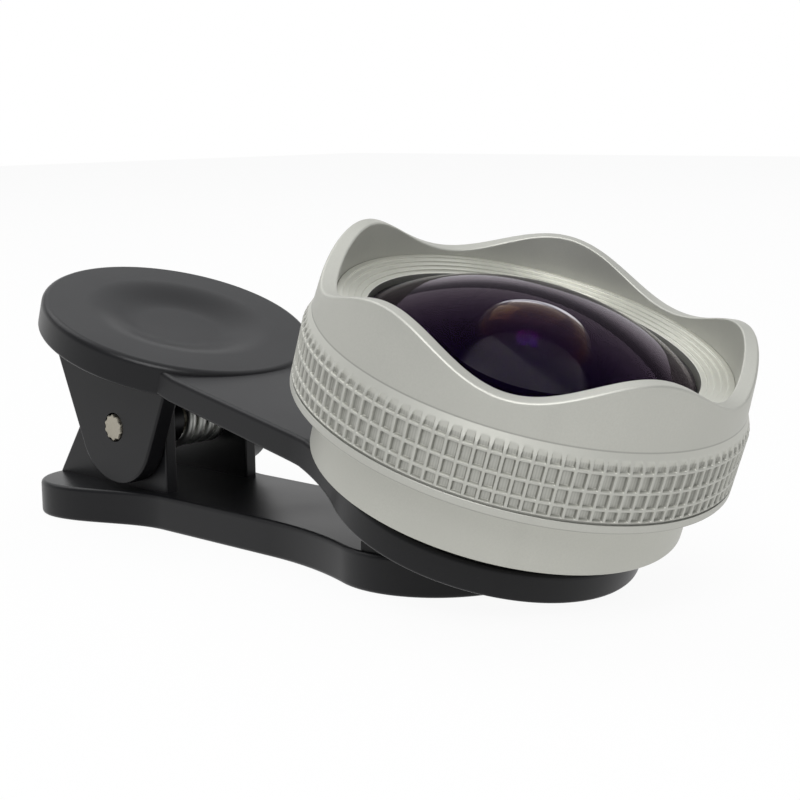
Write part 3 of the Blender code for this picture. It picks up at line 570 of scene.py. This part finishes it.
def make_front_barrel():
    """Lip, knurl, chamfer and petal hood as one net."""
    net = Net()
    cell = 2 * math.pi * LIP_R / KNURL_COUNT
    flank = (0.11, 0.15, 0.20, 0.25, 0.31)
    marks = [-flank[0]] + list(flank) + [cell / 2] + [cell - v for v in reversed(flank[1:])]
    turns = np.concatenate([(k * cell + np.array(marks)) / LIP_R for k in range(KNURL_COUNT)])
    across = np.tile([min(abs(m), cell - abs(m)) for m in marks], KNURL_COUNT)
    pocket = step_up(across, 0.13, 0.29)
    coarse = turns[::3]
    lean = (LIP_R - HOOD_R) / (HOOD_Z - CHAMFER_Z)

    def ring_at(angles, radius, height):
        radius = np.broadcast_to(radius, angles.shape)
        height = np.broadcast_to(height, angles.shape)
        return net.ring(np.stack([radius * np.cos(angles), radius * np.sin(angles), height], 1))

    inside = [
        (HOOD_INNER, 14.9), (20.3, 14.9), (20.3, 12.1), (16.2, 12.1), (16.2, 10.4), (17.4, 10.4),
        (17.4, 3.0), (19.2, 3.0), (19.2, 7.94), (21.55, 7.94), (21.55, 6.94),
    ]
    lip = soften([(21.6, 6.94), (LIP_R, 6.94), (LIP_R, 8.2)], 0.22, 4, closed=False)
    groove = [
        (LIP_R, 7.88), (LIP_R - 0.03, 7.92), (LIP_R - 0.2, 7.95),
        (LIP_R - 0.2, 8.17), (LIP_R - 0.03, 8.2), (LIP_R, 8.23),
    ]
    rings = [ring_at(coarse, r, z) for r, z in inside + lip[1:-1] + groove]
    for a, b in zip(rings, rings[1:]):
        net.band(a, b)
    last = rings[-1]
    for z in knurl_rows():
        bound = LIP_R - max(0.0, (z - CHAMFER_Z) * lean)
        ring = ring_at(turns, np.minimum(LIP_R - KNURL_DEPTH * pocket * pocket_share(z), bound), z)
        net.band(last, ring)
        last = ring
    for z in (15.2, 15.5, 15.6, 15.64):
        ring = ring_at(coarse, LIP_R - (z - CHAMFER_Z) * lean, z)
        net.band(last, ring)
        last = ring
    rim = petal_height(coarse)
    foot = HOOD_Z + 0.03
    round_r = 0.32
    for share in (0.0, 0.01, 0.04, 0.12, 0.22, 0.33, 0.44, 0.55, 0.66, 0.77, 0.87, 0.95):
        z = foot + (rim - round_r - 0.06 - foot) * share
        ring = ring_at(coarse, hood_radius(z), z)
        net.band(last, ring)
        last = ring
    outer = hood_radius(rim)
    for distance, drop in edge_steps(round_r, 5):
        ring = ring_at(coarse, outer - distance, rim - drop)
        net.band(last, ring)
        last = ring
    for distance, drop in edge_steps(0.2, 4)[::-1]:
        ring = ring_at(coarse, HOOD_INNER + distance, rim - drop)
        net.band(last, ring)
        last = ring
    for share in (0.08, 0.25, 0.5, 0.75):
        ring = ring_at(coarse, HOOD_INNER, (rim - 0.3) * (1 - share) + 14.9 * share)
        net.band(last, ring)
        last = ring
    net.band(last, rings[0])
    return net.make("hood_barrel", LENS)


def make_macro_barrel():
    outline = [
        (7.2, -4.92), (8.5, -4.92), (8.5, -1.62), (12.2, -1.62), (12.2, 0.0), (MACRO_R, 0.0, 0.3),
        (MACRO_R, 7.64), (19.5, 7.64), (19.5, 2.4), (9.8, 2.4), (9.8, -0.9), (7.2, -0.9),
    ]
    return lathe("macro_shell", outline, 288, LENS, 0.12)


def make_retainer():
    """The stepped ring round the front glass."""
    outer, inner, steps, top, drop = 22.1, 18.65, 5, 18.17, 1.21
    tread = (outer - inner) / steps
    outline = [(outer, 15.9, 0)]
    for i in range(steps):
        z = top - drop / steps * i
        outline.append((outer - tread * i, z, 0.07))
        outline.append((outer - tread * (i + 1), z, 0.05))
    outline.append((inner, 15.9, 0))
    return lathe("step_ring", outline, 360, LENS, 0.07, 3)


# Optics


def sphere_arc(edge_r, edge_z, rise, steps):
    """Points from a lens's edge to its axis on a sphere that rises by the given height."""
    curve = (edge_r**2 + rise**2) / (2 * abs(rise))
    sign = math.copysign(1, rise)
    centre = edge_z + rise - sign * curve
    widest = math.asin(min(1.0, edge_r / curve))
    if abs(rise) > curve:
        widest = math.pi - widest
    points = []
    for i in range(1, steps + 1):
        turn = widest * (1 - i / steps)
        points.append((curve * math.sin(turn), centre + sign * curve * math.cos(turn)))
    return points


def make_front_glass():
    edge_r, edge_z, rise = 18.2, 16.7, 5.49
    bowl_r, base, depth = 9.2, 12.4, 6.9
    outline = [(20.0, base), (20.0, base + 2.5), (edge_r, base + 2.5), (edge_r, edge_z)]
    outline += sphere_arc(edge_r, edge_z, rise, 40)
    outline += sphere_arc(bowl_r, base, depth, 40)[::-1]
    outline.append((bowl_r, base))
    return lathe("front_dome", outline, 192, LENS)


def paint(piece, surface, chosen):
    """Give the faces that a test picks, by radius and height in millimetres, a material of their own."""
    piece.data.materials.append(surface)
    index = len(piece.data.materials) - 1
    for face in piece.data.polygons:
        x, y, z = face.center / MM
        if chosen(math.hypot(x, y), z):
            face.material_index = index


def simple_lens(name, edge_r, low, high, flat_r, low_rise, high_rise):
    """A lens with a flat rim and two shallow faces; a rise above zero bends upwards."""
    outline = [(edge_r, low), (edge_r, high), (flat_r, high)]
    outline += sphere_arc(flat_r, high, high_rise, 14)
    outline += sphere_arc(flat_r, low, low_rise, 14)[::-1]
    outline.append((flat_r, low))
    return lathe(name, outline, 144, LENS)


# Clip


def neck_points(centre_x, radius, half, fillet, steps):
    lift = math.asin((half + fillet) / (radius + fillet))
    middle = centre_x - (radius + fillet) * math.cos(lift)
    made = []
    for i in range(steps + 1):
        turn = lift + (math.pi / 2 - lift) * i / steps
        made.append((middle + fillet * math.cos(turn), half + fillet - fillet * math.sin(turn)))
    return made


def arc_points(centre_x, radius, first, last, steps):
    made = []
    for i in range(steps):
        turn = math.radians(first + (last - first) * i / steps)
        made.append((centre_x + radius * math.cos(turn), radius * math.sin(turn)))
    return made


RING_X, RING_R, RING_TOP, RING_LOW = 53.94, 18.08, 15.77, 12.31
ARM_HALF, ARM_TOP = 12.69, 12.58
SLOPE_FRONT, SLOPE_REAR = 35.67, 11.63
DISC_X, DISC_R, DISC_TOP, DISC_LOW = -3.42, 18.04, 13.28, 9.23
DISH_DEEP = 1.35
SPRING_FIRST_Y, SPRING_LAST_Y, WIRE = -0.65, 5.1, 0.64
DECK_LOW = 10.78


def slope(x, rear, front):
    share = (x - SLOPE_REAR) / (SLOPE_FRONT - SLOPE_REAR)
    return rear + (front - rear) * min(1.0, max(0.0, share))


def arm_outline():
    neck = neck_points(RING_X, RING_R, ARM_HALF, 24.0, 26)
    first = math.degrees(math.atan2(neck[0][1], neck[0][0] - RING_X))
    points = arc_points(RING_X, RING_R, 0.0, first, 64) + neck
    made = []
    for a, b in zip(points, points[1:]):
        made.append(a)
        if a[0] > SLOPE_FRONT > b[0]:
            share = (a[0] - SLOPE_FRONT) / (a[0] - b[0])
            made.append((SLOPE_FRONT, a[1] + (b[1] - a[1]) * share))
    made.append(points[-1])
    made += [(x, ARM_HALF) for x in (28.0, 22.0, 16.0, SLOPE_REAR, 8.0, 5.9)]
    return made


def make_upper_arm():
    arm = slab(
        "arm", arm_outline(), lambda x: slope(x, 9.4, RING_LOW), lambda x: slope(x, ARM_TOP, RING_TOP),
        0.55, 0.35, PIVOT,
    )
    wall = 1.8
    half = ARM_HALF - wall
    hollow = [(33.9, half), (SLOPE_REAR, half), (5.0, half)]
    cut(arm, slab("hollow", hollow, lambda x: 6.0, lambda x: slope(x, DECK_LOW, 13.97), 0, 0, PIVOT))
    cut(arm, cylinder(8.8, 10.0, 18.0, 128, PIVOT @ Matrix.Translation((RING_X * MM, 0, 0))))
    profile = [(0.0, DISC_TOP - DISH_DEEP)]
    for i in range(1, 33):
        share = i / 32
        profile.append((12.6 * share, DISC_TOP - DISH_DEEP * (1 - float(step_up(share, 0.42, 1.0)))))
    rim = [
        (13.0, DISC_TOP), (DISC_R, DISC_TOP, 0.85), (DISC_R, DISC_LOW, 0.4), (DISC_R - wall, DISC_LOW, 0.3),
        (DISC_R - wall, DECK_LOW, 0.4), (0.0, DECK_LOW),
    ]
    edge = soften(rim, 0.4, 6, closed=False)
    disc = lathe("disc", profile + edge[1:], 256, PIVOT @ Matrix.Translation((DISC_X * MM, 0, 0)))
    disc.data.transform(Matrix.Translation((DISC_X * MM, 0, 0)))
    disc.matrix_world = PIVOT
    ear = [(8.5, 11.4), (8.5, 9.2)]
    for i in range(25):
        turn = math.radians(-4 - 131 * i / 24)
        ear.append((7.5 * math.cos(turn), 7.5 * math.sin(turn)))
    ear += [(-14.1, 4.3), (-17.5, 9.1), (-17.5, 9.7), (-15.7, 11.4)]
    parts = [arm, disc]
    for side in (-1, 1):
        near, far = sorted((side * 7.98, side * 10.58))
        made = plate("ear", ear[::-1], near, far, 0.3, PIVOT)
        cut(made, cylinder(1.92, -12.0, 12.0, 64, PIVOT, across=True))
        parts.append(made)
    return join("upper_moulding", parts)


def lower_outline(inside=0.0):
    radius, half = 12.5 - inside, 9.13 - inside
    neck = neck_points(47.79, radius, half, 45.0 + inside, 24)
    first = math.degrees(math.atan2(neck[0][1], neck[0][0] - 47.79))
    points = arc_points(47.79, radius, 0.0, first, 48) + neck
    corner = -9.8
    for i in range(41):
        share = i / 40
        points.append((7.5 + (corner - 7.5) * share, half + 5.0 * (0.5 - 0.5 * math.cos(math.pi * share))))
    for i in range(1, 17):
        turn = math.radians(90 + 90 * i / 16)
        points.append((corner + (7.0 - inside) * math.cos(turn), 7.13 + (7.0 - inside) * math.sin(turn)))
    return points


def cheek_outline():
    radius, front, foot, lift = 8.85, 6.92, -16.5, 12.88
    start = math.degrees(math.atan2(math.sqrt(radius**2 - front**2), front))
    away = math.hypot(foot, 4.52 - lift)
    finish = math.degrees(math.atan2(4.52 - lift, foot)) + 360 - math.degrees(math.acos(radius / away))
    made = [(front, 3.9)]
    for i in range(33):
        turn = math.radians(start + (finish - start) * i / 32)
        made.append((radius * math.cos(turn), lift + radius * math.sin(turn)))
    return made + [(foot, 4.6), (foot, 3.9)]


def make_lower_arm():
    arm = slab("lower", lower_outline(), lambda x: 0.0, lambda x: 4.52, 0.5, 0.45, WORLD)
    cut(arm, slab("hollow", lower_outline(1.6), lambda x: -1.0, lambda x: 2.82, 0, 0, WORLD))
    parts = [arm]
    for i in range(5):
        x = 47.0 - 13.0 * i
        half = [(x, 8.6), (x - 1.2, 8.6)]
        parts.append(slab("rib", half, lambda x: 0.3, lambda x: 3.2, 0, 0, WORLD))
    parts.append(slab("spine", [(59.6, 1.0), (-16.1, 1.0)], lambda x: 0.0, lambda x: 3.2, 0, 0, WORLD))
    centre = Matrix.Translation((0, 0, 12.88 * MM))
    for side in (-1, 1):
        near, far = sorted((side * 5.85, side * 7.68))
        cheek = plate("cheek", cheek_outline(), near, far, 0.25, WORLD)
        cut(cheek, cylinder(2.5, -10.0, 10.0, 64, centre, across=True))
        parts.append(cheek)
    turn = Matrix.Rotation(math.radians(90), 4, "X")
    boss = lathe("boss", [(2.2, 1.35), (3.2, 1.35), (3.2, 6.5), (2.2, 6.5)], 96, centre @ turn, 0.15)
    boss.data.transform(centre @ turn)
    boss.matrix_world = WORLD
    parts.append(boss)
    return join("lower_moulding", parts)


def tube(name, path, radius, sides, place):
    """A round wire along a path, with domed ends."""
    points = np.array(path, float)
    ahead = np.gradient(points, axis=0)
    ahead /= np.linalg.norm(ahead, axis=1)[:, None]
    net = Net()
    rings = []
    side = np.cross(ahead[0], (0, 1, 0))
    for point, along in zip(points, ahead):
        side = side - along * (side @ along)
        side /= np.linalg.norm(side)
        other = np.cross(along, side)
        turns = np.arange(sides) * 2 * np.pi / sides
        ring = point + radius * (np.outer(np.cos(turns), side) + np.outer(np.sin(turns), other))
        rings.append(net.ring(ring))
    for a, b in zip(rings, rings[1:]):
        net.band(a, b)
    dome = radius * 0.6
    ends = ((rings[0], points[0] - ahead[0] * dome), (rings[-1], points[-1] + ahead[-1] * dome))
    for ring, tip in ends:
        net.fan(ring, net.ring([tip]))
    return net.make(name, place)


def make_spring():
    """Close coil with a straight leg at each end."""
    radius, wire, turns = 3.3, WIRE, 3
    low = (-11.0, 4.52 - PIVOT_HEIGHT + 0.3 + wire)
    tilt = JAW_TILT
    beneath = DECK_LOW - 0.3 - wire
    high = (-8.0 * math.cos(tilt) + beneath * math.sin(tilt), beneath * math.cos(tilt) + 8.0 * math.sin(tilt))
    start = (math.atan2(low[1], low[0]) + math.acos(radius / math.hypot(*low))) % (2 * math.pi)
    finish = (math.atan2(high[1], high[0]) - math.acos(radius / math.hypot(*high))) % (2 * math.pi)
    sweep = 2 * math.pi * turns + (finish - start) % (2 * math.pi)
    first_y, last_y = SPRING_FIRST_Y, SPRING_LAST_Y
    coil = []
    for i in range(281):
        turn = start + sweep * i / 280
        y = first_y + (last_y - first_y) * i / 280
        coil.append((radius * math.cos(turn), y, radius * math.sin(turn)))
    path = []
    for i in range(12):
        share = i / 12
        path.append((low[0] + (coil[0][0] - low[0]) * share, first_y, low[1] + (coil[0][2] - low[1]) * share))
    path += coil
    for i in range(1, 13):
        share = i / 12
        x, z = coil[-1][0], coil[-1][2]
        path.append((x + (high[0] - x) * share, last_y, z + (high[1] - z) * share))
    return tube("coil_spring", path, wire, 16, Matrix.Translation((0, 0, PIVOT_HEIGHT * MM)))


def make_pin():
    """Smooth pin with fluted ends."""
    net = Net()
    count = 120
    turns = np.arange(count) * 2 * np.pi / count
    flutes = 1.76 - 0.22 * (0.5 - 0.5 * np.cos(10 * turns)) ** 0.8
    rings = []
    end = 10.85
    stations = (
        (-end, 1, 0.18), (-end + 0.06, 1, 0.06), (-end + 0.2, 1, 0), (-9.4, 1, 0), (-9.1, 0, 0),
        (9.1, 0, 0), (9.4, 1, 0), (end - 0.2, 1, 0), (end - 0.06, 1, 0.06), (end, 1, 0.18),
    )
    for y, shape, shrink in stations:
        radius = (flutes if shape else np.full(count, 1.6)) - shrink
        points = np.stack([radius * np.cos(turns), np.full(count, y), radius * np.sin(turns)], 1)
        rings.append(net.ring(points))
    for a, b in zip(rings, rings[1:]):
        net.band(a, b)
    for ring, y in ((rings[0], -end + 0.05), (rings[-1], end - 0.05)):
        small = net.ring(np.stack([1.2 * np.cos(turns), np.full(count, y), 1.2 * np.sin(turns)], 1))
        net.band(ring, small)
        net.fan(small, net.ring([(0, y, 0)]))
    return net.make("hinge_pin", PIVOT)


# Assembly


def washer(name, inner, outer, low, high, round_r, place=LENS):
    """A plain ring of rectangular section."""
    return lathe(name, [(inner, low), (outer, low), (outer, high), (inner, high)], 160, place, round_r)


dress(make_upper_arm(), arm_black, "upper_body", "black_plastic", "upper_arm")
dress(make_lower_arm(), arm_black, "lower_body", "black_plastic", "lower_arm")
dress(make_pin(), pin_steel, "upper_body", "pin_steel", "pivot_pin")
spring = dress(make_spring(), wire_steel, None, "spring_steel", "torsion_spring")
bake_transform(spring)

ring_middle = PIVOT @ Matrix.Translation((RING_X * MM, 0, 0))
ring_pad = washer("ring_washer", 9.4, 13.6, 11.21, 12.31, 0.15, ring_middle)
dress(ring_pad, pad_black, "upper_body", "pad_rubber", "ring_pad")
pad_half = arc_points(47.79, 11.9, 0.0, 93.8, 48) + [(47.0, 11.87)]
lower_pad = slab("lower_cushion", pad_half, lambda x: 4.53, lambda x: 5.72, 0.3, 0, WORLD)
dress(lower_pad, pad_black, "lower_body", "pad_rubber", "lower_pad")

dress(make_macro_barrel(), plain_silver, "macro_body", "satin_silver", "macro_barrel")
macro_lens = simple_lens("macro_element", 9.5, -0.6, 0.4, 9.45, 0.001, 1.5)
dress(macro_lens, inner_coat, "macro_body", "lens_glass", "macro_glass")
macro_lock = washer("macro_lock", 8.2, 9.79, 1.08, 2.18, 0.12)
dress(macro_lock, cell_black, "macro_body", "black_metal", "macro_retainer")

barrel = dress(make_front_barrel(), hood_silver, "wide_body", "satin_silver", "front_barrel")
paint(barrel, inside_black, lambda r, z: r < 20.9 and z > 8.5 and z < 15.0)
dress(make_retainer(), step_silver, "wide_body", "satin_silver", "front_retainer")
dome = dress(make_front_glass(), front_coat, "wide_body", "lens_glass", "front_glass")
paint(dome, edge_paint, lambda r, z: r > 18.0 and z < 16.6 or r > 9.2 and z < 12.45)
paint(dome, bowl_coat, lambda r, z: r < 9.2 and z < 19.6)
dress(washer("seal", 18.45, 20.0, 15.0, 15.8, 0.2), pad_black, "wide_body", "pad_rubber", "glass_seal")
cell = [
    (12.7, 3.0), (15.9, 3.0), (15.9, 12.0), (14.6, 12.0), (14.6, 8.2), (10.6, 8.2), (10.6, 7.0), (12.7, 7.0),
]
dress(lathe("optic_cell", cell, 192, LENS, 0.15), cell_black, "wide_body", "black_metal", "lens_cell")
second = simple_lens("second_element", 14.3, 8.5, 10.0, 10.6, 0.55, -0.28)
dress(second, inner_coat, "wide_body", "lens_glass", "second_lens")
spacer = washer("optic_spacer", 12.3, 14.3, 10.3, 12.0, 0.1)
dress(spacer, cell_black, "wide_body", "black_metal", "spacer_ring")
crown = simple_lens("crown_element", 12.4, 5.7, 6.7, 10.3, 0.001, 0.9)
dress(crown, inner_coat, "wide_body", "lens_glass", "crown_lens")
flint = simple_lens("flint_element", 12.4, 4.2, 5.4, 10.4, 0.55, 0.001)
dress(flint, inner_coat, "wide_body", "lens_glass", "flint_lens")
rear_lock = washer("rear_lock", 10.4, 12.4, 3.0, 3.9, 0.12)
dress(rear_lock, cell_black, "wide_body", "black_metal", "rear_retainer")


# Stage, light and camera


def area(name, size, power, place, target, colour=(1, 1, 1)):
    data = bpy.data.lights.new(name, "AREA")
    data.shape = "RECTANGLE"
    data.size, data.size_y = size
    data.energy = power
    data.color = colour
    lamp = bpy.data.objects.new(name, data)
    bpy.context.scene.collection.objects.link(lamp)
    lamp.location = place
    away = Matrix.Translation(place).translation - Matrix.Translation(target).translation
    lamp.rotation_euler = away.to_track_quat("Z", "Y").to_euler()
    return lamp


def seen(tree, path):
    """1 where the backdrop is looked at directly, in a reflection or through glass."""
    value = path.outputs["Is Camera Ray"]
    for ray in ("Is Glossy Ray", "Is Transmission Ray"):
        most = tree.nodes.new("ShaderNodeMath")
        most.operation = "MAXIMUM"
        tree.links.new(value, most.inputs[0])
        tree.links.new(path.outputs[ray], most.inputs[1])
        value = most.outputs[0]
    return value


# Level direction from the photograph's viewpoint to the far side of the object.
BEHIND = (-0.7, 0.71, 0.0)


def backdrop_share(tree, path):
    """1 where the white backdrop is: all round for the camera, but in reflections and glass only low down on
    the far side from the photograph's viewpoint."""
    where = tree.nodes.new("ShaderNodeTexCoord")
    split = tree.nodes.new("ShaderNodeSeparateXYZ")
    tree.links.new(where.outputs["Generated"], split.inputs["Vector"])
    fade = tree.nodes.new("ShaderNodeMapRange")
    fade.interpolation_type = "SMOOTHSTEP"
    fade.inputs["From Min"].default_value = 0.28
    fade.inputs["From Max"].default_value = 0.46
    fade.inputs["To Min"].default_value = 1.0
    fade.inputs["To Max"].default_value = 0.0
    tree.links.new(split.outputs["Z"], fade.inputs["Value"])
    behind = tree.nodes.new("ShaderNodeVectorMath")
    behind.operation = "DOT_PRODUCT"
    behind.inputs[1].default_value = BEHIND
    tree.links.new(where.outputs["Generated"], behind.inputs[0])
    side = tree.nodes.new("ShaderNodeMapRange")
    side.interpolation_type = "SMOOTHSTEP"
    side.inputs["From Min"].default_value = -0.5
    side.inputs["From Max"].default_value = 0.3
    tree.links.new(behind.outputs["Value"], side.inputs["Value"])
    low = tree.nodes.new("ShaderNodeMath")
    low.operation = "MULTIPLY"
    tree.links.new(fade.outputs["Result"], low.inputs[0])
    tree.links.new(side.outputs["Result"], low.inputs[1])
    shown = tree.nodes.new("ShaderNodeMath")
    shown.operation = "MULTIPLY"
    tree.links.new(low.outputs[0], shown.inputs[0])
    tree.links.new(seen(tree, path), shown.inputs[1])
    most = tree.nodes.new("ShaderNodeMath")
    most.operation = "MAXIMUM"
    tree.links.new(shown.outputs[0], most.inputs[0])
    tree.links.new(path.outputs["Is Camera Ray"], most.inputs[1])
    return most.outputs[0]


def make_stage():
    half = 1.5
    mesh = bpy.data.meshes.new("floor")
    corners = [(-half, -half, 0), (half, -half, 0), (half, half, 0), (-half, half, 0)]
    mesh.from_pydata(corners, [], [(0, 1, 2, 3)])
    floor = bpy.data.objects.new("floor", mesh)
    bpy.context.scene.collection.objects.link(floor)
    material = bpy.data.materials.new("pale_floor")
    material.use_nodes = True
    tree = material.node_tree
    tree.nodes.clear()
    out = tree.nodes.new("ShaderNodeOutputMaterial")
    diffuse = tree.nodes.new("ShaderNodeBsdfDiffuse")
    diffuse.inputs["Color"].default_value = (0.75, 0.75, 0.75, 1)
    glow = tree.nodes.new("ShaderNodeEmission")
    glow.inputs["Strength"].default_value = 1.0
    blend = tree.nodes.new("ShaderNodeMixShader")
    path = tree.nodes.new("ShaderNodeLightPath")
    share = tree.nodes.new("ShaderNodeMath")
    share.operation = "MULTIPLY"
    share.inputs[1].default_value = 0.94
    tree.links.new(seen(tree, path), share.inputs[0])
    tree.links.new(share.outputs[0], blend.inputs["Fac"])
    tree.links.new(diffuse.outputs[0], blend.inputs[1])
    tree.links.new(glow.outputs[0], blend.inputs[2])
    tree.links.new(blend.outputs[0], out.inputs["Surface"])
    mesh.materials.append(material)


def make_world():
    world = bpy.data.worlds.new("studio")
    bpy.context.scene.world = world
    world.use_nodes = True
    tree = world.node_tree
    tree.nodes.clear()
    out = tree.nodes.new("ShaderNodeOutputWorld")
    room = tree.nodes.new("ShaderNodeBackground")
    room.inputs["Color"].default_value = (0.95, 0.97, 1.0, 1)
    room.inputs["Strength"].default_value = 0.38
    white = tree.nodes.new("ShaderNodeBackground")
    blend = tree.nodes.new("ShaderNodeMixShader")
    path = tree.nodes.new("ShaderNodeLightPath")
    white.inputs["Color"].default_value = (1, 1, 1, 1)
    tree.links.new(backdrop_share(tree, path), blend.inputs["Fac"])
    tree.links.new(room.outputs[0], blend.inputs[1])
    tree.links.new(white.outputs[0], blend.inputs[2])
    tree.links.new(blend.outputs[0], out.inputs["Surface"])


def make_camera():
    data = bpy.data.cameras.new("camera")
    data.lens = 78.87
    data.sensor_width = 36.0
    data.clip_start = 0.01
    camera = bpy.data.objects.new("camera", data)
    bpy.context.scene.collection.objects.link(camera)
    right, up, back = (0.7166, 0.6973, -0.0143), (-0.1030, 0.1261, 0.9867), (0.6898, -0.7056, 0.1622)
    turn = Matrix((right, up, back)).transposed().to_4x4()
    camera.matrix_world = Matrix.Translation((0.1839, -0.1453, 0.0529)) @ turn
    bpy.context.scene.camera = camera


make_stage()
make_world()
make_camera()
middle = (0.03, 0.0, 0.02)
area("key", (0.45, 0.45), 4.6, (0.42, -0.44, 0.56), middle)
area("side", (0.5, 0.5), 1.3, (-0.42, -0.12, 0.6), middle)
area("top", (1.4, 1.4), 4.4, (-0.1, 0.25, 0.85), middle)
bpy.context.scene.view_settings.view_transform = "Standard"
